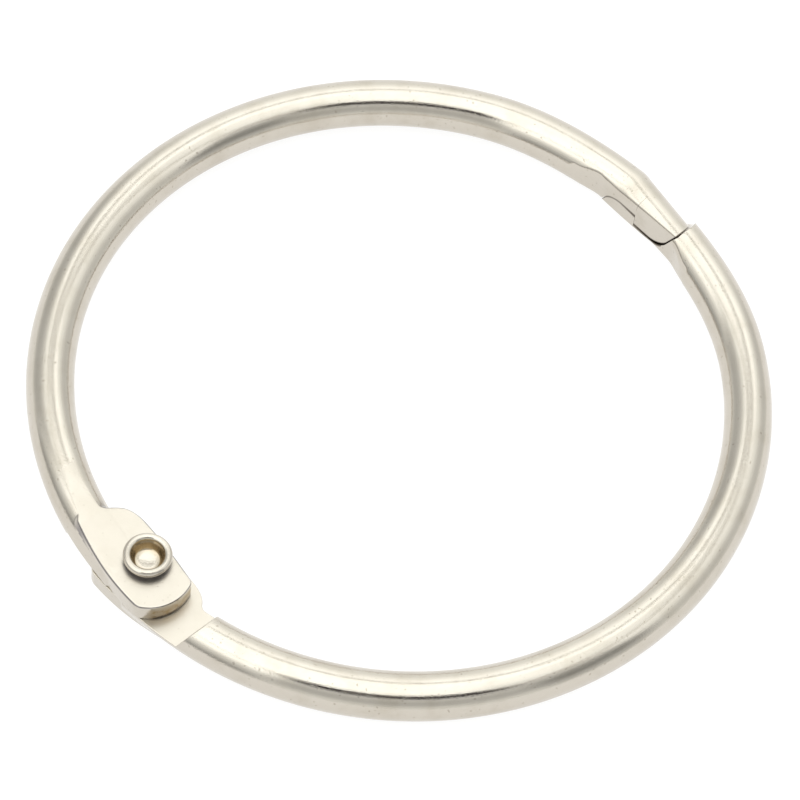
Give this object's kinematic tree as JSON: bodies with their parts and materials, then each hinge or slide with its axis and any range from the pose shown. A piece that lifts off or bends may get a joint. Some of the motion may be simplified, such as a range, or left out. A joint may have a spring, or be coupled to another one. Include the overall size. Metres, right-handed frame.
{
  "type": "hinged binder ring",
  "caption": "Nickel-plated hinged book ring: round wire arms with coined eyes on a hollow rivet, closed by interlocking hooked noses.",
  "frame": {"origin": "centre of the closed ring, on the plane where the two arms part, halfway through the wire's thickness", "axes": "+Z along the ring's axis out of the side with the rivet's rolled lip; hinge at -X, clasp at +X; the upper arm lies on the +Y side"},
  "size_m": [0.057, 0.0574, 0.0048],
  "materials": {
    "upper_arm_nickel": "bright nickel plate with fine drawing lines",
    "lower_arm_nickel": "bright nickel plate with fine drawing lines",
    "rivet_nickel": "bright nickel plate, rolled rim"
  },
  "bodies": {
    "lower": {"lower_arm": "lower_arm_nickel", "rivet": "rivet_nickel"},
    "upper": {"upper_arm": "upper_arm_nickel"}
  },
  "joints": [
    {"name": "ring_hinge", "type": "hinge", "parent": "lower", "child": "upper", "pos_m": [-0.0255, 0, 0], "axis": [0, 0, 1], "range_deg": [0, 135]}
  ]
}
